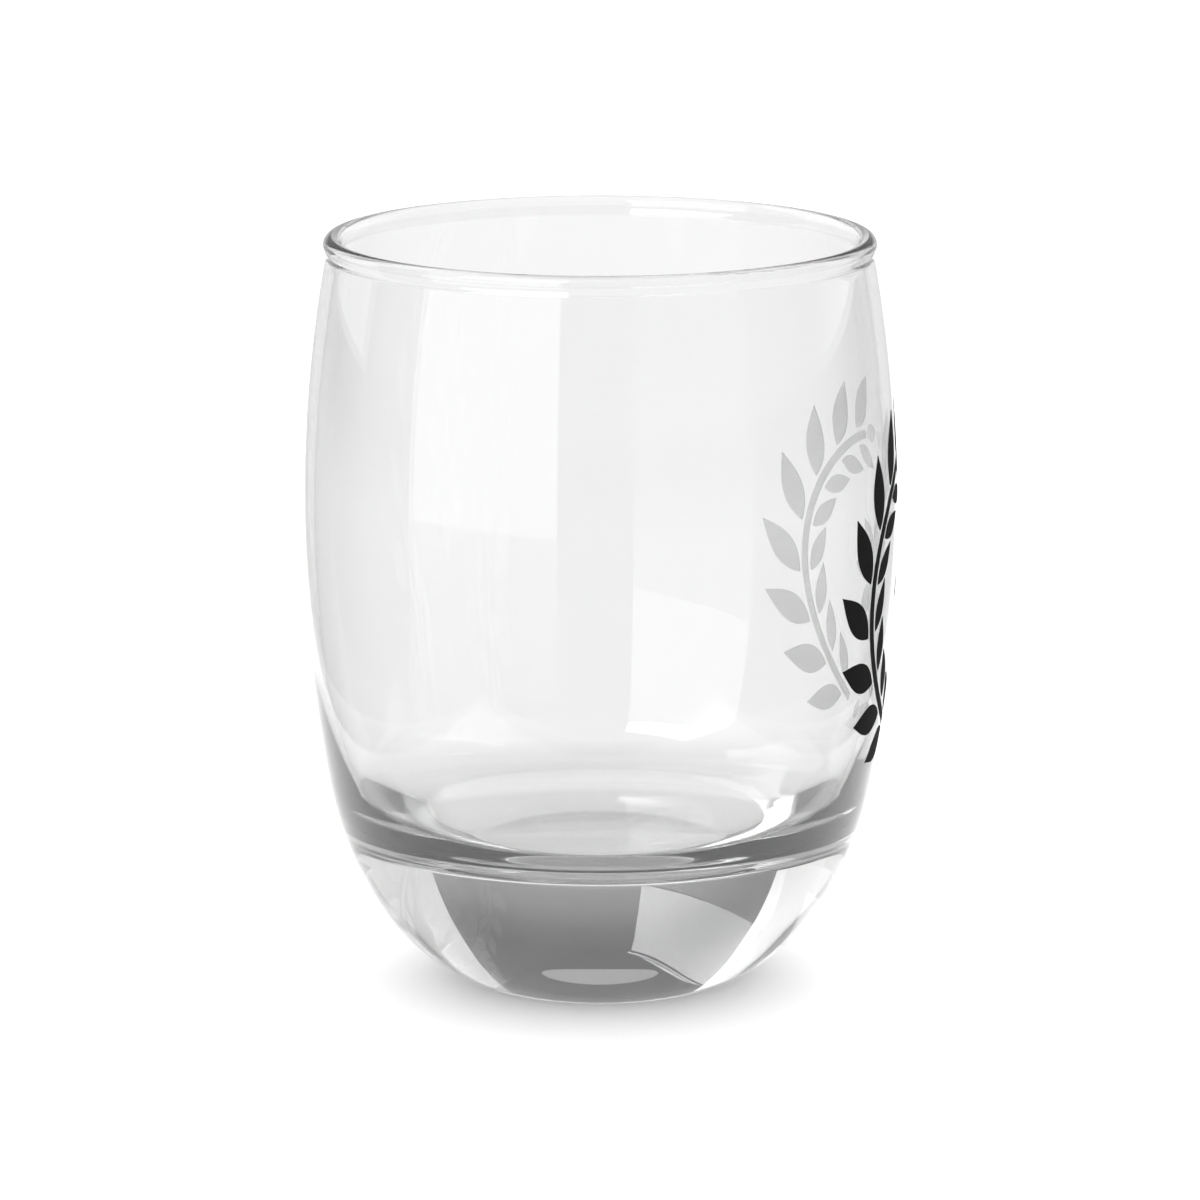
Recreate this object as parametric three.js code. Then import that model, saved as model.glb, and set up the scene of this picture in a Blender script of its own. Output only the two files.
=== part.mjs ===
// Barrel-shaped whisky glass with a heavy base, and a wreath printed on its wall.
// Millimetres, +Z up. The origin is the middle of the foot, and +X runs through the middle of the print.
import * as THREE from 'three';

// Outer form of the glass
const HEIGHT = 88.8;
const BELLY_RADIUS = 35;
const BELLY_HEIGHT = 55;
const BARREL_CURVE = 173;
const FLANK_TOP = 24;
const HEEL_RADIUS = 26;
const HEEL_HEIGHT = 8.5;
const FOOT_RADIUS = 16.2;
const FOOT_ROUND = 0.8;
const FOOT_LIFT = 0.2;

// Inside of the glass. The wall thickens down a taper, then turns in a corner to the edge of the flat floor.
// Both rises are measured from the floor, to where the taper and the corner start.
const WALL_AT_RIM = 1.6;
const WALL_AT_BELLY = 1.35;
const WALL_AT_CORNER = 2.25;
const TAPER_RISE = 20.8;
const CORNER_RISE = 6.7;
const FLOOR_HEIGHT = 17.7;
const FLOOR_RADIUS = 20.7;

// Rolled bead on the rim: how far it stands out of the wall, and how far its tail runs down the wall
const BEAD_PROUD = 0.5;
const BEAD_TAIL = 1.5;

// Print: an oval wreath of two leafy branches round a rosette, in islands of ink
const INK_THICKNESS = 0.1;
const INK_CLEARANCE = 0.08;
const INK_GAP = 0.55;
const PRINT_HEIGHT = 47;
const WREATH_HALF_WIDTH = 20.5;
const WREATH_HALF_HEIGHT = 17;
const WREATH_OPENING = THREE.MathUtils.degToRad(15);
const STEM_WIDTH = 1.1;
const LEAF_PAIRS = 8;
const LEAF_SPREAD = THREE.MathUtils.degToRad(36);
const OUTER_LEAF_LENGTH = 8.8;
const INNER_LEAF_LENGTH = 6.4;
const LEAF_WIDEST_SHARE = 0.44;
const BERRY_RADIUS = 1.3;
const ROSETTE_RADIUS = 8.4;
const ROSETTE_CENTRE_RADIUS = 1.5;
const PETAL_COUNT = 8;

// Fineness of the facets
const TURN_STEPS = 72;
const FOOT_STEPS = 3;
const HEEL_STEPS = 7;
const FLANK_STEPS = 6;
const BARREL_STEPS = 10;
const BEAD_TAIL_STEPS = 4;
const BEAD_OUTSIDE_STEPS = 5;
const BEAD_INSIDE_STEPS = 5;
const INNER_WALL_STEPS = 9;
const TAPER_STEPS = 5;
const CORNER_STEPS = 8;
const STEM_STEPS = 40;
const LEAF_STEPS = 6;
const BLUNT_TIP_SHARE = 0.08;
const STRAIGHT_ENOUGH = 1e-6;

const glassMaterial = new THREE.MeshStandardMaterial({
  color: 0xeef2f1, roughness: 0.03, metalness: 0, transparent: true, opacity: 0.35,
});
const inkMaterial = new THREE.MeshStandardMaterial({ color: 0x161616, roughness: 0.45, metalness: 0 });

// How far a circle has left its tangent, the given distance along the tangent
function sagitta(radius, along) {
  return radius - Math.sqrt(radius * radius - along * along);
}

// Radius of the outer barrel curve at a height
function outerRadius(height) {
  return BELLY_RADIUS - sagitta(BARREL_CURVE, height - BELLY_HEIGHT);
}

function unitVector(heading) {
  return new THREE.Vector2(Math.cos(heading), Math.sin(heading));
}

function angleAt(centre, point) {
  return Math.atan2(point.y - centre.y, point.x - centre.x);
}

// The circular arc that leaves start at a heading and ends at end: its points, and its heading at the end
function arcFrom(start, heading, end, steps) {
  const chord = end.clone().sub(start);
  const turn = angleAt(start, end) - heading;
  const bend = Math.atan2(Math.sin(turn), Math.cos(turn));
  const points = [];
  for (let i = 0; i <= steps; i += 1) {
    const share = i / steps;
    const reach = Math.abs(bend) < STRAIGHT_ENOUGH ? share : Math.sin(share * bend) / Math.sin(bend);
    points.push(start.clone().addScaledVector(unitVector(heading + share * bend), reach * chord.length()));
  }
  return { points, heading: heading + 2 * bend };
}

// Points of a circle from one angle to another, both ends included
function circlePoints(centre, radius, from, to, steps) {
  const points = [];
  for (let i = 0; i <= steps; i += 1) {
    const angle = THREE.MathUtils.lerp(from, to, i / steps);
    points.push(unitVector(angle).multiplyScalar(radius).add(centre));
  }
  return points;
}

// Half section of the glass: from the axis under the foot, up the outside, over the rim and down inside
function glassSection() {
  const barrelCentre = new THREE.Vector2(BELLY_RADIUS - BARREL_CURVE, BELLY_HEIGHT);

  // The inner barrel curve leaves the wall its thickness at the belly and at the rim
  const innerBelly = BELLY_RADIUS - WALL_AT_BELLY;
  const innerDrop = innerBelly - (outerRadius(HEIGHT) - WALL_AT_RIM);
  const aboveBelly = HEIGHT - BELLY_HEIGHT;
  const innerCurve = (aboveBelly * aboveBelly + innerDrop * innerDrop) / (2 * innerDrop);
  const innerCentre = new THREE.Vector2(innerBelly - innerCurve, BELLY_HEIGHT);

  // The bead is round on top and flush with the wall inside. Outside, its tail runs out smoothly on the wall.
  const beadRadius = (WALL_AT_RIM + BEAD_PROUD) / 2;
  const beadHeight = HEIGHT - beadRadius;
  const beadReach = innerCurve + beadRadius;
  const beadMiddle = innerCentre.x + beadReach - sagitta(beadReach, beadHeight - BELLY_HEIGHT);
  const beadCentre = new THREE.Vector2(beadMiddle, beadHeight);
  const beadTop = Math.PI / 2;
  const beadEnd = angleAt(innerCentre, beadCentre) + Math.PI;
  const beadOutside = circlePoints(beadCentre, beadRadius, 0, beadTop, BEAD_OUTSIDE_STEPS);
  const beadInside = circlePoints(beadCentre, beadRadius, beadTop, beadEnd, BEAD_INSIDE_STEPS);
  const tailFoot = new THREE.Vector2(outerRadius(beadHeight - BEAD_TAIL), beadHeight - BEAD_TAIL);
  const tailRise = BEAD_TAIL / 3;
  const upBarrel = angleAt(barrelCentre, tailFoot) + Math.PI / 2;
  const alongWall = tailFoot.clone().add(new THREE.Vector2(tailRise / Math.tan(upBarrel), tailRise));
  const underBead = beadOutside[0].clone().sub(new THREE.Vector2(0, tailRise));
  const beadTail = new THREE.CubicBezierCurve(tailFoot, alongWall, underBead, beadOutside[0]);

  // The barrel runs into a rounder flank, and the flank into a rounder heel that lands on the foot
  const flankStart = new THREE.Vector2(outerRadius(FLANK_TOP), FLANK_TOP);
  const heelStart = new THREE.Vector2(HEEL_RADIUS, HEEL_HEIGHT);
  const heelEnd = new THREE.Vector2(FOOT_RADIUS, FOOT_LIFT);
  const footEdge = new THREE.Vector2(FOOT_RADIUS - FOOT_ROUND, 0);
  const downBarrel = angleAt(barrelCentre, flankStart) - Math.PI / 2;
  const flank = arcFrom(flankStart, downBarrel, heelStart, FLANK_STEPS);
  const heel = arcFrom(heelStart, flank.heading, heelEnd, HEEL_STEPS);
  const foot = arcFrom(footEdge, 0, heelEnd, FOOT_STEPS);

  // The taper leaves the inner barrel curve, and the corner runs on from the taper
  const taperTop = FLOOR_HEIGHT + TAPER_RISE;
  const cornerTop = FLOOR_HEIGHT + CORNER_RISE;
  const taperReach = innerBelly - sagitta(innerCurve, BELLY_HEIGHT - taperTop);
  const taperStart = new THREE.Vector2(taperReach, taperTop);
  const cornerStart = new THREE.Vector2(outerRadius(cornerTop) - WALL_AT_CORNER, cornerTop);
  const floorEdge = new THREE.Vector2(FLOOR_RADIUS, FLOOR_HEIGHT);
  const wallFoot = angleAt(innerCentre, taperStart);
  const taper = arcFrom(taperStart, wallFoot - Math.PI / 2, cornerStart, TAPER_STEPS);
  const corner = arcFrom(cornerStart, taper.heading, floorEdge, CORNER_STEPS);

  const barrel = circlePoints(barrelCentre, BARREL_CURVE, angleAt(barrelCentre, flankStart),
    angleAt(barrelCentre, tailFoot), BARREL_STEPS);
  const innerWall = circlePoints(innerCentre, innerCurve, angleAt(innerCentre, beadCentre), wallFoot,
    INNER_WALL_STEPS);
  return [
    new THREE.Vector2(0, 0),
    ...foot.points,
    ...heel.points.reverse().slice(1),
    ...flank.points.reverse().slice(1),
    ...barrel.slice(1),
    ...beadTail.getPoints(BEAD_TAIL_STEPS).slice(1),
    ...beadOutside.slice(1),
    ...beadInside.slice(1),
    ...innerWall.slice(1),
    ...taper.points.slice(1),
    ...corner.points.slice(1),
    new THREE.Vector2(0, FLOOR_HEIGHT),
  ];
}

function glassBody() {
  const geometry = new THREE.LatheGeometry(glassSection(), TURN_STEPS);
  geometry.rotateX(Math.PI / 2);
  const mesh = new THREE.Mesh(geometry, glassMaterial);
  mesh.name = 'glass_body';
  return mesh;
}

// One island of ink. It starts as a thin plate in the print's flat picture: line(share) gives the point
// and the heading of its middle line, and halfWidth(share) its half width there. The picture is then
// wrapped round the barrel, with its middle on +X.
function inkIsland(name, line, halfWidth, steps) {
  const geometry = new THREE.BoxGeometry(1, 2, 1, steps, 2, 1);
  const position = geometry.attributes.position;
  for (let i = 0; i < position.count; i += 1) {
    const share = position.getX(i) + 0.5;
    const { point, heading } = line(share);
    const reach = position.getY(i) * halfWidth(share);
    const across = point.x - reach * Math.sin(heading);
    const height = PRINT_HEIGHT + point.y + reach * Math.cos(heading);
    const layer = position.getZ(i) > 0 ? INK_THICKNESS : 0;
    const radius = outerRadius(height) + INK_CLEARANCE + layer;
    const angle = across / BELLY_RADIUS;
    position.setXYZ(i, radius * Math.cos(angle), radius * Math.sin(angle), height);
  }
  const mesh = new THREE.Mesh(geometry, inkMaterial);
  mesh.name = name;
  return mesh;
}

// A straight middle line from a point, along a heading
function straight(start, heading, length) {
  const direction = unitVector(heading);
  return (share) => ({ point: start.clone().addScaledVector(direction, share * length), heading });
}

// A leaf swells from a blunt foot to its widest, short of the middle, and narrows to a blunt tip
function leaf(name, start, heading, length, width) {
  const lean = Math.log(0.5) / Math.log(LEAF_WIDEST_SHARE);
  const halfWidth = (share) => (width / 2) * Math.max(BLUNT_TIP_SHARE, Math.sin(Math.PI * share ** lean));
  return inkIsland(name, straight(start, heading, length), halfWidth, LEAF_STEPS);
}

// A round dot, with its steps closer together towards its ends
function dot(name, centre, radius) {
  const start = centre.clone().add(new THREE.Vector2(-radius, 0));
  const line = straight(start, 0, 2 * radius);
  const halfWidth = (share) => radius * Math.max(BLUNT_TIP_SHARE, Math.sin(Math.PI * share));
  return inkIsland(name, (share) => line((1 - Math.cos(Math.PI * share)) / 2), halfWidth, LEAF_STEPS);
}

// One branch of the wreath, up from the bottom: its stem, its pairs of leaves and the leaf at its tip.
// Side is 1 for the right branch and -1 for the left one.
function branch(sideName, side) {
  const oval = new THREE.EllipseCurve(0, 0, WREATH_HALF_WIDTH, WREATH_HALF_HEIGHT,
    side * WREATH_OPENING - Math.PI / 2, Math.PI / 2 - side * WREATH_OPENING, side < 0);
  const stemLine = (share) => {
    const tangent = oval.getTangentAt(share);
    return { point: oval.getPointAt(share), heading: Math.atan2(tangent.y, tangent.x) };
  };
  const islands = [inkIsland(`print_stem_${sideName}`, stemLine, () => STEM_WIDTH / 2, STEM_STEPS)];

  // Neighbouring leaves of a row keep the ink gap. The outer row has least room where the oval is flattest,
  // and the inner row where the oval turns tightest.
  const pitch = oval.getLength() / LEAF_PAIRS;
  const leafFoot = STEM_WIDTH / 2 + INK_GAP;
  const bends = [WREATH_HALF_WIDTH / WREATH_HALF_HEIGHT ** 2, WREATH_HALF_HEIGHT / WREATH_HALF_WIDTH ** 2];
  const middleOf = (length) => leafFoot + (length / 2) * Math.sin(LEAF_SPREAD);
  const outerRoom = 1 + Math.min(...bends) * middleOf(OUTER_LEAF_LENGTH);
  const innerRoom = 1 - Math.max(...bends) * middleOf(INNER_LEAF_LENGTH);
  const widthIn = (room) => pitch * room * Math.sin(LEAF_SPREAD) - INK_GAP;
  const rows = [
    { row: 'outer', turn: -side, length: OUTER_LEAF_LENGTH, width: widthIn(outerRoom) },
    { row: 'inner', turn: side, length: INNER_LEAF_LENGTH, width: widthIn(innerRoom) },
  ];
  for (let i = 0; i < LEAF_PAIRS; i += 1) {
    const { point, heading } = stemLine((i + 0.5) / LEAF_PAIRS);
    for (const { row, turn, length, width } of rows) {
      const start = point.clone().addScaledVector(unitVector(heading + turn * Math.PI / 2), leafFoot);
      const name = `print_leaf_${sideName}_${row}_${i + 1}`;
      islands.push(leaf(name, start, heading + turn * LEAF_SPREAD, length, width));
    }
  }

  // The tip leaf runs on from the stem towards the other branch, and keeps the ink gap to both
  const tip = stemLine(1);
  const ahead = unitVector(tip.heading);
  const start = tip.point.clone().addScaledVector(ahead, INK_GAP);
  const length = Math.abs(start.x / ahead.x) - INK_GAP / 2;
  islands.push(leaf(`print_leaf_${sideName}_tip`, start, tip.heading, length, widthIn(innerRoom)));
  return islands;
}

// The rosette in the middle of the wreath: a dot with petals round it
function rosette() {
  const islands = [dot('print_rosette_centre', new THREE.Vector2(0, 0), ROSETTE_CENTRE_RADIUS)];
  const petalFoot = ROSETTE_CENTRE_RADIUS + INK_GAP;
  const petalLength = ROSETTE_RADIUS - petalFoot;
  const widestAt = petalFoot + LEAF_WIDEST_SHARE * petalLength;
  const petalWidth = 2 * widestAt * Math.sin(Math.PI / PETAL_COUNT) - INK_GAP;
  for (let i = 0; i < PETAL_COUNT; i += 1) {
    const heading = (2 * Math.PI * i) / PETAL_COUNT;
    const start = unitVector(heading).multiplyScalar(petalFoot);
    islands.push(leaf(`print_petal_${i + 1}`, start, heading, petalLength, petalWidth));
  }
  return islands;
}

const glass = new THREE.Group();
glass.add(glassBody());
glass.add(...branch('right', 1));
glass.add(...branch('left', -1));
glass.add(dot('print_berry', new THREE.Vector2(0, -WREATH_HALF_HEIGHT), BERRY_RADIUS));
glass.add(...rosette());

export default glass;
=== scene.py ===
"""Looks of a barrel-shaped whisky glass with a heavy base and a wreath printed on its wall."""
import bisect
import itertools
import math

import bpy
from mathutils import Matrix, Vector


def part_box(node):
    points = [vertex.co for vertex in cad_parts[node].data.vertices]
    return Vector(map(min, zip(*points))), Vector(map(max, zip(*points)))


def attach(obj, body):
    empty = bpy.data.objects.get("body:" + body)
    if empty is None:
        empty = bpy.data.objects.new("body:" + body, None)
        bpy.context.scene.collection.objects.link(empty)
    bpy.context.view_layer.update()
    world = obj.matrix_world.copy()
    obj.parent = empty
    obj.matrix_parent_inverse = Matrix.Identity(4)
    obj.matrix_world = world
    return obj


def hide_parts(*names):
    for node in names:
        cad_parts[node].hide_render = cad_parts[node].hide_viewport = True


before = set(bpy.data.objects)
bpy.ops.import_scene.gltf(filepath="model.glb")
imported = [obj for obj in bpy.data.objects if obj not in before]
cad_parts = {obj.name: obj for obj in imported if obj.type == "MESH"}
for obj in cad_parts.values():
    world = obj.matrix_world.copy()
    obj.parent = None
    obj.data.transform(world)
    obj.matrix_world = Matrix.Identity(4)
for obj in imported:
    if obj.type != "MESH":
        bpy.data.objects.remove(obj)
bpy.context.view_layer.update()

# Glass: sizes in metres, as in the CAD model
_, glass_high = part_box("glass_body")
HEIGHT = glass_high[2]
BELLY_RADIUS = 0.0350
BELLY_HEIGHT = 0.0550
BARREL_CURVE = 0.1730
FLANK_TOP = 0.0240
HEEL_RADIUS = 0.0260
HEEL_HEIGHT = 0.0085
FOOT_RADIUS = 0.0162
FOOT_ROUND = 0.0008
FOOT_LIFT = 0.0002
WALL_AT_RIM = 0.0016
WALL_AT_BELLY = 0.00135
WALL_AT_CORNER = 0.00225
TAPER_RISE = 0.0208
CORNER_RISE = 0.0067
FLOOR_HEIGHT = 0.0177
FLOOR_RADIUS = 0.0207
BEAD_PROUD = 0.0005
BEAD_TAIL = 0.0015

# Fineness of the glass: facets round the axis, and the length of a step along the section
TURN_STEPS = 192
SECTION_STEP = 0.0008
FEWEST_STEPS = 3
BEAD_STEPS = 40
TAIL_STEPS = 16

# Print: the same wreath as in the CAD model, as a thin film bonded to the glass
INK_SINK = 0.00001
INK_STAND = 0.00005
INK_GAP = 0.00055
PRINT_HEIGHT = 0.0470
WREATH_HALF_WIDTH = 0.0205
WREATH_HALF_HEIGHT = 0.0170
WREATH_OPENING = math.radians(15)
STEM_WIDTH = 0.0011
LEAF_PAIRS = 8
LEAF_SPREAD = math.radians(36)
LEAF_FOOT = STEM_WIDTH / 2 + INK_GAP
OUTER_LEAF_LENGTH = 0.0088
INNER_LEAF_LENGTH = 0.0064
LEAF_WIDEST_SHARE = 0.44
BERRY_RADIUS = 0.0013
ROSETTE_RADIUS = 0.0084
ROSETTE_CENTRE_RADIUS = 0.0015
PETAL_COUNT = 8
TRAIL_STEPS = 2000
STEM_STEPS = 120
LEAF_STEPS = 28
ACROSS_STEPS = 6
BLUNT_TIP_SHARE = 0.03

# Surfaces: the glass and the waves that its mould left, and the ink and its grain
GLASS_TINT = (0.99, 0.992, 0.991, 1.0)
GLASS_CLEARNESS = 0.97
GLASS_IOR = 1.5
MOULD_WAVE = 0.0110
MOULD_WAVE_DEPTH = 0.000006
MOULD_WAVE_DETAIL = 1.0
BLACK_TONES = (0.003, 0.011)
UNDERSIDE_TONES = (0.92, 0.99)
INK_ROUGHNESS = (0.55, 0.85)
INK_SHINE = 0.03
INK_GRAIN = 0.0004
INK_GRAIN_DEPTH = 0.00001
INK_GRAIN_DETAIL = 4.0

# Camera: where it stands, in degrees round the glass from -Y, and how it looks down at the glass
VIEW_AZIMUTH = -8.5
VIEW_TILT = 11.89
VIEW_DISTANCE = 0.760
AIM_HEIGHT = 0.0451
LENS_MM = 192.9
SENSOR_MM = 36.0

# Floor: the distance from the axis and the half width of its front and of its back
FLOOR_TINT = (0.8, 0.8, 0.8, 1.0)
FLOOR_FRONT = (0.10, 0.09)
FLOOR_BACK = (1.25, 0.21)
FLOOR_DROP = 0.0001

# Soft light on the floor: on the open floor, where more comes from behind, on floor that is seen through the
# glass, and on floor that the glass shows by more than one reflection
WHITE = (1.0, 1.0, 1.0, 1.0)
OPEN_LIGHT = 1.72
OPEN_BACK_LIGHT = 3.2
GLASS_LIGHT = 1.25
MIRRORED_LIGHT = 0.45

# Soft light that comes to a surface through the glass: by itself, where it and the view of that surface
# pass many faces of glass between them, and where the glass shows that surface by a reflection
SHADOW_LIGHT = 1.30
BENEATH_LIGHT = 3.4
BENEATH_FACES = 6
MIRRORED_SHADE = 1.0

# Room that the glass mirrors and bends: its tones at elevations in degrees, behind the glass and on the
# camera's side, and then below the floor's level, by angles down, as the glass bends and as it mirrors them
ROOM_BEHIND = ((0, 1.0), (5, 0.85), (9, 0.27), (12, 0.23), (17, 0.14), (22, 0.10), (45, 0.10), (60, 0.33))
ROOM_IN_FRONT = ((0, 0.20), (8, 0.13), (45, 0.13), (60, 0.35))
BENT_BELOW = 1.0
MIRRORED_BEHIND = 0.85
MIRRORED_IN_FRONT = ((0, 0.05), (4, 0.05), (9, 0.40), (30, 0.45))

# Where the room's tones change over, as the reach of a direction of length 1: from the back to the camera's
# side, above and below the floor's level, and from the dark left end of the back to the rest of it
FRONT_CHANGE = (-0.48, -0.08)
FRONT_CHANGE_BELOW = (-0.869, -0.639)
LEFT_CHANGE = (-0.619, -0.143)

# Panels: spans in degrees round the glass from the camera's side, positive to its right, distances from the
# axis, heights, and strengths at the bottom and at the top
STRIP_STEPS = 24
BOTH_WALLS_FACES = 4
SOFTBOX_SPAN = (-72, -15)
SOFTBOX_DISTANCE = 0.200
SOFTBOX_TOP = 0.160
SOFTBOX_BOTTOM = 0.035
SOFTBOX_STRENGTHS = (1.4, 1.4)
SOFTBOX_DEEP_GAIN = 1.65
SOFTBOX_FOOT_BOTTOM = -0.030
SOFTBOX_FOOT_STRENGTHS = (0.6, 0.95)
KEY_SPAN = (-66, -15.5)
KEY_DISTANCE = 0.600
KEY_BOTTOM = 0.420
KEY_LEFT_TOP = 1.080
KEY_RIGHT_TOP = 0.825
KEY_STRENGTHS = (11.5, 7.0)
KEY_LEFT_SHARE = 0.52
BACK_DISTANCE = 0.400
BACK_TOP = 0.600
BACK_LEFT_SPAN = (-150.5, -105)
BACK_LEFT_BOTTOM = 0.070
BACK_LEFT_STRENGTHS = (0.7, 2.2)
BACK_RIGHT_SPAN = (110, 153)
BACK_RIGHT_OUTER_BOTTOM = 0.115
BACK_RIGHT_INNER_BOTTOM = 0.075
BACK_RIGHT_STRENGTHS = (0.64, 0.64)
OVAL_SPAN = (168.5, 191.5)
OVAL_BOTTOM = 0.214
OVAL_TOP = 0.285
OVAL_STRENGTHS = (0.36, 0.36)
RIM_CARD_SPAN = (148, 212)
RIM_CARD_DISTANCE = 0.065
RIM_RING_SPAN = (0, 360)
RIM_RING_DISTANCE = 0.066
RIM_CARD_BOTTOM = 0.086
RIM_CARD_TOP = 0.106
RIM_CARD_STRENGTHS = (0.95, 0.95)

# Shade: a level card over the floor behind the glass, and the light on the floor under it, as it is seen
# through the glass and by more than one reflection
SHADE_SPAN = (147, 213)
SHADE_NEAR = 0.030
SHADE_FAR = 0.062
SHADE_HEIGHT = 0.010
SHADE_LIGHT = 0.95
SHADE_MIRRORED_LIGHT = 0.34


# Section of the glass

def sagitta(radius, along):
    """How far a circle has left its tangent, the given distance along the tangent."""
    return radius - math.sqrt(radius * radius - along * along)


def outer_radius(height):
    """Radius of the outer barrel curve at a height."""
    return BELLY_RADIUS - sagitta(BARREL_CURVE, height - BELLY_HEIGHT)


def angle_at(centre, point):
    """Angle at which a point lies as seen from a centre."""
    return math.atan2(point[1] - centre[1], point[0] - centre[0])


def steps_for(length):
    """How many steps a stretch of the section has."""
    return max(FEWEST_STEPS, math.ceil(length / SECTION_STEP))


def arc_from(start, heading, end):
    """The arc that leaves start at a heading and ends at end: its points, and its heading at the end."""
    turn = angle_at(start, end) - heading
    bend = math.atan2(math.sin(turn), math.cos(turn))
    length = math.dist(start, end)
    steps = steps_for(length)
    points = []
    for i in range(steps + 1):
        share = i / steps
        reach = length * math.sin(share * bend) / math.sin(bend)
        direction = heading + share * bend
        points.append((start[0] + reach * math.cos(direction), start[1] + reach * math.sin(direction)))
    return points, heading + 2 * bend


def circle_points(centre, radius, start, end, steps):
    """Points of a circle from one angle to another, both ends included."""
    points = []
    for i in range(steps + 1):
        angle = start + (end - start) * i / steps
        points.append((centre[0] + radius * math.cos(angle), centre[1] + radius * math.sin(angle)))
    return points


def between(start, end, share):
    """The point at a share of the way from start to end."""
    return start[0] + share * (end[0] - start[0]), start[1] + share * (end[1] - start[1])


def bezier_points(controls, steps):
    """Points of the Bezier curve of some control points, both ends included."""
    points = []
    for i in range(steps + 1):
        level = controls
        while len(level) > 1:
            level = [between(a, b, i / steps) for a, b in zip(level, level[1:])]
        points += level
    return points


def line_points(start, end):
    """Points of a straight line, both ends included."""
    steps = steps_for(math.dist(start, end))
    return [between(start, end, i / steps) for i in range(steps + 1)]


def glass_section():
    """Half section, from the axis under the foot, up the outside, over the rim and down inside."""
    barrel_centre = (BELLY_RADIUS - BARREL_CURVE, BELLY_HEIGHT)

    # Inner barrel curve, which leaves the wall its thickness at the belly and at the rim
    inner_belly = BELLY_RADIUS - WALL_AT_BELLY
    inner_drop = inner_belly - (outer_radius(HEIGHT) - WALL_AT_RIM)
    above_belly = HEIGHT - BELLY_HEIGHT
    inner_curve = (above_belly ** 2 + inner_drop ** 2) / (2 * inner_drop)
    inner_centre = (inner_belly - inner_curve, BELLY_HEIGHT)

    # Rim bead, round on top and flush with the wall inside, with a tail that runs out smoothly outside
    bead_radius = (WALL_AT_RIM + BEAD_PROUD) / 2
    bead_height = HEIGHT - bead_radius
    bead_reach = inner_curve + bead_radius
    bead_middle = inner_centre[0] + bead_reach - sagitta(bead_reach, bead_height - BELLY_HEIGHT)
    bead_centre = (bead_middle, bead_height)
    bead_end = angle_at(inner_centre, bead_centre) + math.pi
    bead = circle_points(bead_centre, bead_radius, 0.0, bead_end, BEAD_STEPS)
    tail_foot = (outer_radius(bead_height - BEAD_TAIL), bead_height - BEAD_TAIL)
    tail_rise = BEAD_TAIL / 3
    up_barrel = angle_at(barrel_centre, tail_foot) + math.pi / 2
    along_wall = (tail_foot[0] + tail_rise / math.tan(up_barrel), tail_foot[1] + tail_rise)
    under_bead = (bead[0][0], bead[0][1] - tail_rise)
    tail = bezier_points([tail_foot, along_wall, under_bead, bead[0]], TAIL_STEPS)

    # Flank and heel, each a rounder arc than the one above it
    flank_start = (outer_radius(FLANK_TOP), FLANK_TOP)
    heel_start = (HEEL_RADIUS, HEEL_HEIGHT)
    heel_end = (FOOT_RADIUS, FOOT_LIFT)
    foot_edge = (FOOT_RADIUS - FOOT_ROUND, 0.0)
    down_barrel = angle_at(barrel_centre, flank_start) - math.pi / 2
    flank, flank_heading = arc_from(flank_start, down_barrel, heel_start)
    heel, _ = arc_from(heel_start, flank_heading, heel_end)
    foot, _ = arc_from(foot_edge, 0.0, heel_end)

    # Inside, the wall thickens down a taper, then turns in a corner to the flat floor's edge
    taper_top = FLOOR_HEIGHT + TAPER_RISE
    corner_top = FLOOR_HEIGHT + CORNER_RISE
    taper_start = (inner_belly - sagitta(inner_curve, BELLY_HEIGHT - taper_top), taper_top)
    corner_start = (outer_radius(corner_top) - WALL_AT_CORNER, corner_top)
    floor_edge = (FLOOR_RADIUS, FLOOR_HEIGHT)
    wall_foot = angle_at(inner_centre, taper_start)
    taper, taper_heading = arc_from(taper_start, wall_foot - math.pi / 2, corner_start)
    corner, _ = arc_from(corner_start, taper_heading, floor_edge)

    underside = line_points((0.0, 0.0), foot_edge)
    barrel = circle_points(barrel_centre, BARREL_CURVE, angle_at(barrel_centre, flank_start),
                           angle_at(barrel_centre, tail_foot), steps_for(HEIGHT - FLANK_TOP))
    inner_wall = circle_points(inner_centre, inner_curve, angle_at(inner_centre, bead_centre), wall_foot,
                               steps_for(bead_height - taper_top))
    cavity_floor = line_points(floor_edge, (0.0, FLOOR_HEIGHT))
    return (underside + foot[1:] + heel[::-1][1:] + flank[::-1][1:] + barrel[1:] + tail[1:] + bead[1:]
            + inner_wall[1:] + taper[1:] + corner[1:] + cavity_floor[1:])


# Meshes

def mesh_object(name, points, faces, materials, face_materials=None, smooth=True):
    """A new object in the scene. Where face_materials is given, it has a material's index for each face."""
    mesh = bpy.data.meshes.new(name)
    mesh.from_pydata(points, [], faces)
    for material in materials:
        mesh.materials.append(material)
    for polygon in mesh.polygons:
        polygon.use_smooth = smooth
        if face_materials:
            polygon.material_index = face_materials[polygon.index]
    mesh.update()
    piece = bpy.data.objects.new(name, mesh)
    bpy.context.scene.collection.objects.link(piece)
    return piece


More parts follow.
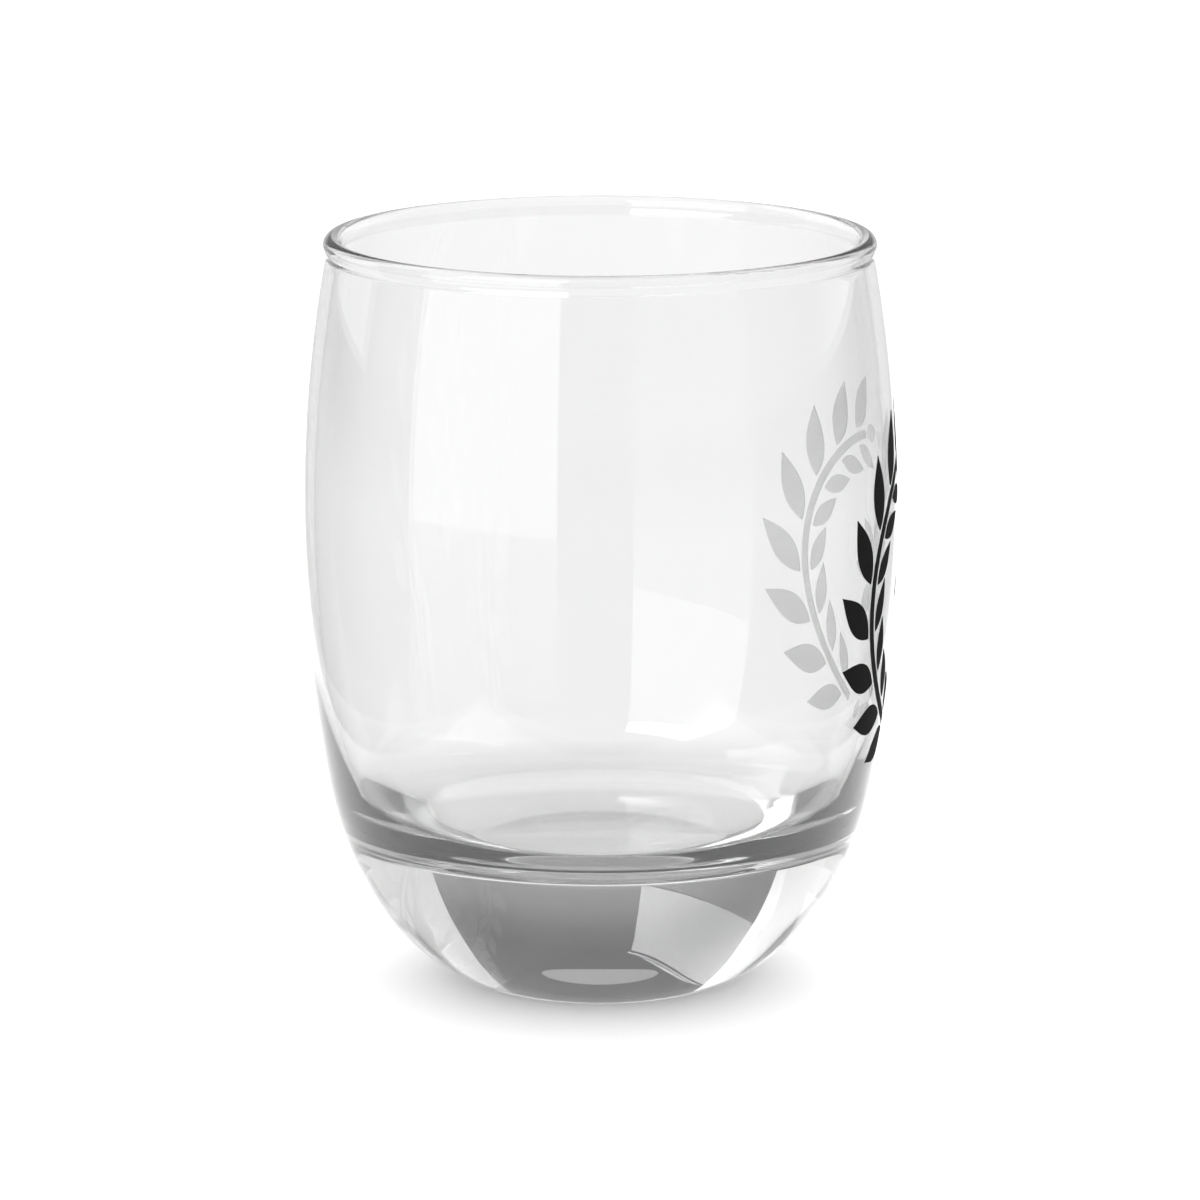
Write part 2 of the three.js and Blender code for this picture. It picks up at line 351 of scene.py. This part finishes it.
def turned(section):
    """Points and faces of a closed solid of revolution whose section starts and ends on the axis."""
    points = [(0.0, 0.0, section[0][1])]
    rings = section[1:-1]
    for radius, height in rings:
        for step in range(TURN_STEPS):
            angle = 2 * math.pi * step / TURN_STEPS
            points.append((radius * math.cos(angle), radius * math.sin(angle), height))
    points.append((0.0, 0.0, section[-1][1]))
    top = len(points) - 1
    last_ring = 1 + (len(rings) - 1) * TURN_STEPS
    faces = []
    for step in range(TURN_STEPS):
        following = (step + 1) % TURN_STEPS
        faces.append((0, 1 + following, 1 + step))
        faces.append((top, last_ring + step, last_ring + following))
        for ring in range(len(rings) - 1):
            here = 1 + ring * TURN_STEPS
            above = here + TURN_STEPS
            faces.append((here + step, here + following, above + following, above + step))
    return points, faces


def on_wall(across, up, stand):
    """A point of the print's flat picture, wrapped round the barrel with its middle on +X."""
    height = PRINT_HEIGHT + up
    radius = outer_radius(height) + stand
    angle = across / BELLY_RADIUS
    return radius * math.cos(angle), radius * math.sin(angle), height


def ink_island(name, line, half_width, steps, materials):
    """A film of ink: line(share) gives the point and heading of its middle line.

    Its underside, which lies on the glass, takes the second material, and the rest of it the first one.
    """
    points = []
    per_row = 2 * (ACROSS_STEPS + 1)
    for i in range(steps + 1):
        share = i / steps
        (x, y), heading = line(share)
        reach = half_width(share)
        for stand in (-INK_SINK, INK_STAND):
            for j in range(ACROSS_STEPS + 1):
                side = reach * (2 * j / ACROSS_STEPS - 1)
                points.append(on_wall(x - side * math.sin(heading), y + side * math.cos(heading), stand))
    faces = []
    layers = []
    for i in range(steps):
        under = i * per_row
        over = under + ACROSS_STEPS + 1
        for j in range(ACROSS_STEPS):
            faces.append((under + j, under + j + 1, under + per_row + j + 1, under + per_row + j))
            faces.append((over + j, over + per_row + j, over + per_row + j + 1, over + j + 1))
            layers += [1, 0]
        last = ACROSS_STEPS
        faces.append((under, under + per_row, over + per_row, over))
        faces.append((under + last, over + last, over + per_row + last, under + per_row + last))
        layers += [0, 0]
    for under, flip in ((0, False), (steps * per_row, True)):
        over = under + ACROSS_STEPS + 1
        for j in range(ACROSS_STEPS):
            face = (under + j, over + j, over + j + 1, under + j + 1)
            faces.append(face[::-1] if flip else face)
            layers.append(0)
    return mesh_object(name, points, faces, materials, layers, smooth=False)


# Materials

class Tree:
    """The nodes of a material or a world, with short ways to add some."""

    def __init__(self, owner):
        owner.use_nodes = True
        self.nodes = owner.node_tree.nodes
        self.links = owner.node_tree.links

    def add(self, kind, *sources):
        """A new node of a kind, whose first inputs take other nodes' outputs or plain values."""
        node = self.nodes.new(kind)
        for socket, source in zip(node.inputs, sources):
            if isinstance(source, bpy.types.NodeSocket):
                self.links.new(source, socket)
            elif source is not None:
                socket.default_value = source
        return node

    def calculate(self, operation, *sources):
        """The result of an operation on some sources."""
        node = self.add("ShaderNodeMath", *sources)
        node.operation = operation
        return node.outputs[0]

    def mix(self, share, low, high):
        """Low where the share is 0, high where it is 1, and between them elsewhere."""
        return self.add("ShaderNodeMix", share, None, low, high).outputs[0]

    def spread(self, value, low, high):
        """A value from 0 to 1, laid out between a low and a high one."""
        return self.add("ShaderNodeMapRange", value, 0.0, 1.0, low, high).outputs[0]

    def change(self, value, start, end):
        """0 up to the start, 1 from the end on, and a straight rise between them."""
        return self.add("ShaderNodeMapRange", value, start, end).outputs[0]

    def bounced(self, kind, count):
        """1 where light's path has so many bounces of a kind or more, and 0 elsewhere."""
        depth = self.add("ShaderNodeLightPath").outputs[f"{kind} Depth"]
        return self.calculate("GREATER_THAN", depth, count - 0.5)

    def grain(self, size, detail):
        """Noise of a size in metres, laid through the piece in its own coordinates."""
        noise = self.add("ShaderNodeTexNoise", self.add("ShaderNodeTexCoord").outputs["Object"])
        noise.inputs["Scale"].default_value = 1.0 / size
        noise.inputs["Detail"].default_value = detail
        return noise.outputs["Fac"]

    def raise_surface(self, shader, height, depth):
        """Gives a shader's surface the relief of a height from 0 to 1."""
        bump = self.nodes.new("ShaderNodeBump")
        bump.inputs["Distance"].default_value = depth
        self.links.new(height, bump.inputs["Height"])
        self.links.new(bump.outputs["Normal"], shader.inputs["Normal"])

    def along(self, direction, axis):
        """How far a direction reaches along an axis, both of length 1."""
        node = self.add("ShaderNodeVectorMath", direction, axis)
        node.operation = "DOT_PRODUCT"
        return node.outputs["Value"]

    def tones(self, level, stops):
        """Tone at a level, which is the sine of an angle, from stops of angle in degrees and tone."""
        ramp = self.add("ShaderNodeValToRGB", level)
        marks = ramp.color_ramp.elements
        while len(marks) < len(stops):
            marks.new(position=0.5)
        for mark, (angle, tone) in zip(marks, stops):
            mark.position = math.sin(math.radians(angle))
            mark.color = (tone, tone, tone, 1.0)
        return ramp.outputs[0]


def surface_material(name):
    """A new material, its nodes and its surface shader."""
    material = bpy.data.materials.new(name)
    tree = Tree(material)
    return material, tree, tree.nodes["Principled BSDF"]


def empty_material(name):
    """A new material and its nodes, of which it has none yet."""
    material = bpy.data.materials.new(name)
    tree = Tree(material)
    tree.nodes.clear()
    return material, tree


def glass_material():
    """Clear pressed glass, with the faint waviness that a mould leaves."""
    material, tree, shader = surface_material("clear_glass")
    shader.inputs["Base Color"].default_value = GLASS_TINT
    shader.inputs["Transmission Weight"].default_value = GLASS_CLEARNESS
    shader.inputs["IOR"].default_value = GLASS_IOR
    shader.inputs["Roughness"].default_value = 0.0
    tree.raise_surface(shader, tree.grain(MOULD_WAVE, MOULD_WAVE_DETAIL), MOULD_WAVE_DEPTH)
    return material


def ink_material(name, tones):
    """Matt screen-print ink, with a fine grain in its tone, its gloss and its surface."""
    material, tree, shader = surface_material(name)
    shader.inputs["Specular IOR Level"].default_value = INK_SHINE
    fine = tree.grain(INK_GRAIN, INK_GRAIN_DETAIL)
    tree.links.new(tree.spread(fine, *tones), shader.inputs["Base Color"])
    tree.links.new(tree.spread(fine, *INK_ROUGHNESS), shader.inputs["Roughness"])
    tree.raise_surface(shader, fine, INK_GRAIN_DEPTH)
    return material


# Camera and studio

def round_glass(azimuth, distance, height):
    """A place round the glass: azimuth in degrees from the camera's side, positive to its right."""
    angle = math.radians(VIEW_AZIMUTH + azimuth)
    return Vector((distance * math.sin(angle), -distance * math.cos(angle), height))


def add_camera():
    """The camera, which looks at a point on the axis of the glass."""
    data = bpy.data.cameras.new("camera")
    data.lens = LENS_MM
    data.sensor_width = SENSOR_MM
    camera = bpy.data.objects.new("camera", data)
    bpy.context.scene.collection.objects.link(camera)
    tilt = math.radians(VIEW_TILT)
    aim = Vector((0.0, 0.0, AIM_HEIGHT))
    camera_height = AIM_HEIGHT + VIEW_DISTANCE * math.sin(tilt)
    camera.location = round_glass(0.0, VIEW_DISTANCE * math.cos(tilt), camera_height)
    camera.rotation_euler = (aim - camera.location).to_track_quat("-Z", "Y").to_euler()
    bpy.context.scene.camera = camera


def add_floor():
    """A pale sheet that starts a little before the glass and runs far out behind it."""
    material, _, shader = surface_material("pale_floor")
    shader.inputs["Base Color"].default_value = FLOOR_TINT
    shader.inputs["Roughness"].default_value = 1.0
    shader.inputs["Specular IOR Level"].default_value = 0.0
    to_right = round_glass(90.0, 1.0, 0.0)
    corners = []
    for azimuth, (distance, half_width) in ((0.0, FLOOR_FRONT), (180.0, FLOOR_BACK)):
        middle = round_glass(azimuth, distance, -FLOOR_DROP)
        corners += [middle - half_width * to_right, middle + half_width * to_right]
    mesh_object("floor", corners, [(0, 1, 3, 2)], [material])


def add_strip(name, span, edges, material):
    """A strip round the glass: edges(share) gives the distance and height of each of its two edges."""
    points = []
    for i in range(STRIP_STEPS + 1):
        share = i / STRIP_STEPS
        azimuth = span[0] + share * (span[1] - span[0])
        for distance, height in edges(share):
            points.append(round_glass(azimuth, distance, height))
    faces = [(2 * i, 2 * i + 2, 2 * i + 3, 2 * i + 1) for i in range(STRIP_STEPS)]
    strip = mesh_object(name, points, faces, [material])
    strip.visible_camera = False
    return strip


def level_heights(bottom, top):
    """Bottom and top of a panel that is as high all along."""
    return lambda share: (bottom, top)


def slanted_heights(first, last):
    """Bottom and top of a panel whose edges run straight from its first end to its last one."""
    return lambda share: between(first, last, share)


def oval_heights(bottom, top):
    """Bottom and top of a panel with the outline of an oval."""
    def heights(share):
        reach = (top - bottom) * math.sqrt(share * (1 - share))
        return (bottom + top) / 2 - reach, (bottom + top) / 2 + reach
    return heights


def add_panel(name, span, distance, heights, strengths, left_share=1.0, deep_gain=1.0, seen=None):
    """A bright upright panel, curved round the glass, which only the glass and the ink can see.

    Its heights follow the share of the way along it. Its strength runs from one at its bottom to another at
    its top, falls to a share of itself towards -X, and gains where it is seen through both walls. It may be
    seen only where the glass mirrors it, or only where the glass bends the view to it.
    """
    material, tree = empty_material(name)
    place = tree.add("ShaderNodeSeparateXYZ", tree.add("ShaderNodeTexCoord").outputs["Generated"])
    strength = tree.spread(place.outputs["Z"], *strengths)
    sideways = tree.spread(place.outputs["X"], left_share, 1.0)
    deep = tree.spread(tree.bounced("Transmission", BOTH_WALLS_FACES), 1.0, deep_gain)
    strength = tree.calculate("MULTIPLY", tree.calculate("MULTIPLY", strength, sideways), deep)
    surface = tree.add("ShaderNodeEmission", None, strength).outputs[0]
    if seen:
        clear = tree.add("ShaderNodeBsdfTransparent").outputs[0]
        pair = (clear, surface) if seen == "mirrored" else (surface, clear)
        surface = tree.add("ShaderNodeMixShader", tree.bounced("Glossy", 1), *pair).outputs[0]
    tree.add("ShaderNodeOutputMaterial", surface)
    panel = add_strip(name, span, lambda share: [(distance, h) for h in heights(share)], material)
    panel.visible_diffuse = False
    panel.visible_shadow = False


def add_front_lights():
    """A softbox with a dimmer foot and a key light above it, on the left of the camera."""
    softbox = level_heights(SOFTBOX_BOTTOM, SOFTBOX_TOP)
    add_panel("softbox_front_left", SOFTBOX_SPAN, SOFTBOX_DISTANCE, softbox, SOFTBOX_STRENGTHS,
              deep_gain=SOFTBOX_DEEP_GAIN, seen="mirrored")
    foot = level_heights(SOFTBOX_FOOT_BOTTOM, SOFTBOX_BOTTOM)
    add_panel("softbox_foot", SOFTBOX_SPAN, SOFTBOX_DISTANCE, foot, SOFTBOX_FOOT_STRENGTHS,
              seen="mirrored")
    key = slanted_heights((KEY_BOTTOM, KEY_LEFT_TOP), (KEY_BOTTOM, KEY_RIGHT_TOP))
    add_panel("key_light", KEY_SPAN, KEY_DISTANCE, key, KEY_STRENGTHS,
              left_share=KEY_LEFT_SHARE, seen="mirrored")


def add_back_panels():
    """A tall panel on each side behind the glass, and an oval card between them."""
    left = level_heights(BACK_LEFT_BOTTOM, BACK_TOP)
    add_panel("panel_left_behind", BACK_LEFT_SPAN, BACK_DISTANCE, left, BACK_LEFT_STRENGTHS)
    right = slanted_heights((BACK_RIGHT_OUTER_BOTTOM, BACK_TOP), (BACK_RIGHT_INNER_BOTTOM, BACK_TOP))
    add_panel("panel_right_behind", BACK_RIGHT_SPAN, BACK_DISTANCE, right, BACK_RIGHT_STRENGTHS)
    oval = oval_heights(OVAL_BOTTOM, OVAL_TOP)
    add_panel("card_behind", OVAL_SPAN, BACK_DISTANCE, oval, OVAL_STRENGTHS)


def add_rim_cards():
    """A card close behind the rim, and one all round it that shows only where the glass bends the view."""
    card = level_heights(RIM_CARD_BOTTOM, RIM_CARD_TOP)
    add_panel("card_behind_rim", RIM_CARD_SPAN, RIM_CARD_DISTANCE, card, RIM_CARD_STRENGTHS)
    add_panel("card_round_rim", RIM_RING_SPAN, RIM_RING_DISTANCE, card, RIM_CARD_STRENGTHS, seen="bent")


def add_shade():
    """A level card over the floor behind the glass, which only the floor's light meets.

    It shades the floor that is seen through the glass, and more so where the glass shows it by more than one
    reflection. The open floor is as bright under it as elsewhere.
    """
    material, tree = empty_material("shade")
    light = tree.mix(tree.bounced("Transmission", 1), OPEN_LIGHT, SHADE_LIGHT)
    light = tree.mix(tree.bounced("Glossy", 2), light, SHADE_MIRRORED_LIGHT)
    glow = tree.add("ShaderNodeEmission", None, light)
    tree.add("ShaderNodeOutputMaterial", glow.outputs[0])
    edges = ((SHADE_NEAR, SHADE_HEIGHT), (SHADE_FAR, SHADE_HEIGHT))
    shade = add_strip("shade", SHADE_SPAN, lambda share: edges, material)
    shade.visible_glossy = False
    shade.visible_transmission = False


def room_tone(tree, direction):
    """Tone of the studio room, by the direction in which it is seen."""
    level = tree.add("ShaderNodeSeparateXYZ", direction).outputs["Z"]
    depth = tree.calculate("MULTIPLY", level, -1.0)
    frontwards = tree.along(direction, round_glass(0.0, 1.0, 0.0))
    rightwards = tree.along(direction, round_glass(90.0, 1.0, 0.0))

    left_end = tree.change(rightwards, *LEFT_CHANGE)
    behind = tree.calculate("MULTIPLY", tree.tones(level, ROOM_BEHIND), left_end)
    in_front = tree.change(frontwards, *FRONT_CHANGE)
    above = tree.mix(in_front, behind, tree.tones(level, ROOM_IN_FRONT))

    in_front_below = tree.change(frontwards, *FRONT_CHANGE_BELOW)
    mirrored = tree.mix(in_front_below, MIRRORED_BEHIND, tree.tones(depth, MIRRORED_IN_FRONT))
    below = tree.mix(tree.bounced("Glossy", 1), BENT_BELOW, mirrored)
    return tree.mix(tree.calculate("LESS_THAN", level, 0.0), above, below)


def soft_light(tree, direction, path):
    """Strength of the soft light, by the direction it comes from and by what it has met on its path."""
    backwards = tree.along(direction, round_glass(180.0, 1.0, 0.0))
    on_open_floor = tree.mix(backwards, OPEN_LIGHT, OPEN_BACK_LIGHT)
    on_floor = tree.mix(tree.bounced("Transmission", 1), on_open_floor, GLASS_LIGHT)
    on_floor = tree.mix(tree.bounced("Glossy", 2), on_floor, MIRRORED_LIGHT)
    through_glass = tree.mix(tree.bounced("Transmission", BENEATH_FACES), SHADOW_LIGHT, BENEATH_LIGHT)
    through_glass = tree.mix(tree.bounced("Glossy", 1), through_glass, MIRRORED_SHADE)
    return tree.mix(path.outputs["Is Diffuse Ray"], through_glass, on_floor)


def add_world():
    """Soft light for the floor, white behind it, and a studio room that the glass mirrors and bends."""
    world = bpy.data.worlds.new("studio")
    bpy.context.scene.world = world
    tree = Tree(world)
    tree.nodes.clear()
    world.cycles.sampling_method = "NONE"
    direction = tree.add("ShaderNodeTexCoord").outputs["Generated"]
    path = tree.add("ShaderNodeLightPath")
    room = tree.add("ShaderNodeBackground", room_tone(tree, direction)).outputs[0]
    soft = tree.add("ShaderNodeBackground", WHITE, soft_light(tree, direction, path)).outputs[0]
    plain = tree.calculate("MAXIMUM", path.outputs["Is Camera Ray"], tree.bounced("Diffuse", 1))
    sky = tree.add("ShaderNodeMixShader", plain, room, soft).outputs[0]
    tree.add("ShaderNodeOutputWorld", sky)


# Pieces

def add_glass():
    """The glass, which stands for its CAD node with finer facets."""
    points, faces = turned(glass_section())
    piece = mesh_object("clear_glass_body", points, faces, [glass_material()])
    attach(piece, "root")
    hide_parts("glass_body")


def straight(start, heading, length):
    """A straight middle line for an island of ink."""
    def line(share):
        x = start[0] + share * length * math.cos(heading)
        y = start[1] + share * length * math.sin(heading)
        return (x, y), heading
    return line


def on_wreath(angle):
    """A point of the oval that the stems follow."""
    return WREATH_HALF_WIDTH * math.cos(angle), WREATH_HALF_HEIGHT * math.sin(angle)


def stem_along_wreath(side):
    """The middle line of the stem on one side, walked at an even pace, and its length."""
    start = side * WREATH_OPENING - math.pi / 2
    sweep = side * (math.pi - 2 * WREATH_OPENING)
    trail = [on_wreath(start + sweep * i / TRAIL_STEPS) for i in range(TRAIL_STEPS + 1)]
    strides = [math.dist(a, b) for a, b in zip(trail, trail[1:])]
    walk = list(itertools.accumulate(strides, initial=0.0))
    length = walk[-1]

    def line(share):
        target = share * length
        low = bisect.bisect_right(walk, target, 0, TRAIL_STEPS) - 1
        angle = start + sweep * (low + (target - walk[low]) / (walk[low + 1] - walk[low])) / TRAIL_STEPS
        run = -side * WREATH_HALF_WIDTH * math.sin(angle)
        rise = side * WREATH_HALF_HEIGHT * math.cos(angle)
        return on_wreath(angle), math.atan2(rise, run)
    return line, length


def leaf_width(pitch, leaf_length, bend):
    """Width that leaves a gap between leaves a pitch apart. A bend away from them gives them more room."""
    middle = LEAF_FOOT + leaf_length / 2 * math.sin(LEAF_SPREAD)
    return pitch * (1 + bend * middle) * math.sin(LEAF_SPREAD) - INK_GAP


class Wreath:
    """The print: two leafy branches round a rosette, island by island."""

    def __init__(self):
        black = ink_material("black_ink", BLACK_TONES)
        underside = ink_material("ink_underside", UNDERSIDE_TONES)
        self.materials = [black, underside]

    def island(self, node, line, half_width, steps):
        """One island of ink, which stands for a node of the CAD model."""
        piece = ink_island(node.replace("print_", "ink_"), line, half_width, steps, self.materials)
        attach(piece, "root")
        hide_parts(node)

    def leaf(self, node, start, heading, length, width):
        """A leaf or petal, pointed at both ends and widest at a share of its length."""
        lean = math.log(0.5) / math.log(LEAF_WIDEST_SHARE)

        def half_width(share):
            return width / 2 * max(BLUNT_TIP_SHARE, math.sin(math.pi * share ** lean))
        self.island(node, straight(start, heading, length), half_width, LEAF_STEPS)

    def dot(self, node, centre, radius):
        """A round dot."""
        line = straight((centre[0] - radius, centre[1]), 0.0, 2 * radius)

        def half_width(share):
            return radius * max(BLUNT_TIP_SHARE, math.sin(math.pi * share))
        self.island(node, lambda share: line((1 - math.cos(math.pi * share)) / 2), half_width, LEAF_STEPS)

    def branch(self, side_name, side):
        """A stem with its leaves: side is 1 on the right and -1 on the left."""
        stem_line, length = stem_along_wreath(side)
        self.island(f"print_stem_{side_name}", stem_line, lambda share: STEM_WIDTH / 2, STEM_STEPS)

        # Leaves in two rows, as wide as the stem's bend lets them be on either side
        pitch = length / LEAF_PAIRS
        bends = (WREATH_HALF_WIDTH / WREATH_HALF_HEIGHT ** 2, WREATH_HALF_HEIGHT / WREATH_HALF_WIDTH ** 2)
        outer_width = leaf_width(pitch, OUTER_LEAF_LENGTH, min(bends))
        inner_width = leaf_width(pitch, INNER_LEAF_LENGTH, -max(bends))
        outer_row = ("outer", -side, OUTER_LEAF_LENGTH, outer_width)
        inner_row = ("inner", side, INNER_LEAF_LENGTH, inner_width)
        for i in range(LEAF_PAIRS):
            point, heading = stem_line((i + 0.5) / LEAF_PAIRS)
            for row, turn, leaf_length, width in (outer_row, inner_row):
                away = heading + turn * math.pi / 2
                foot = (point[0] + LEAF_FOOT * math.cos(away), point[1] + LEAF_FOOT * math.sin(away))
                node = f"print_leaf_{side_name}_{row}_{i + 1}"
                self.leaf(node, foot, heading + turn * LEAF_SPREAD, leaf_length, width)

        # Leaf at the stem's tip, which ends half a gap before the middle of the wreath
        point, heading = stem_line(1.0)
        foot = (point[0] + INK_GAP * math.cos(heading), point[1] + INK_GAP * math.sin(heading))
        tip_length = abs(foot[0] / math.cos(heading)) - INK_GAP / 2
        self.leaf(f"print_leaf_{side_name}_tip", foot, heading, tip_length, inner_width)

    def rosette(self):
        """A dot with petals round it."""
        self.dot("print_rosette_centre", (0.0, 0.0), ROSETTE_CENTRE_RADIUS)
        petal_foot = ROSETTE_CENTRE_RADIUS + INK_GAP
        petal_length = ROSETTE_RADIUS - petal_foot
        widest_at = petal_foot + LEAF_WIDEST_SHARE * petal_length
        petal_width = 2 * widest_at * math.sin(math.pi / PETAL_COUNT) - INK_GAP
        for i in range(PETAL_COUNT):
            heading = 2 * math.pi * i / PETAL_COUNT
            foot = (petal_foot * math.cos(heading), petal_foot * math.sin(heading))
            self.leaf(f"print_petal_{i + 1}", foot, heading, petal_length, petal_width)

    def add(self):
        self.branch("right", 1)
        self.branch("left", -1)
        self.dot("print_berry", (0.0, -WREATH_HALF_HEIGHT), BERRY_RADIUS)
        self.rosette()


bpy.context.scene.view_settings.view_transform = "Standard"
add_camera()
add_floor()
add_world()
add_front_lights()
add_back_panels()
add_rim_cards()
add_shade()
add_glass()
Wreath().add()
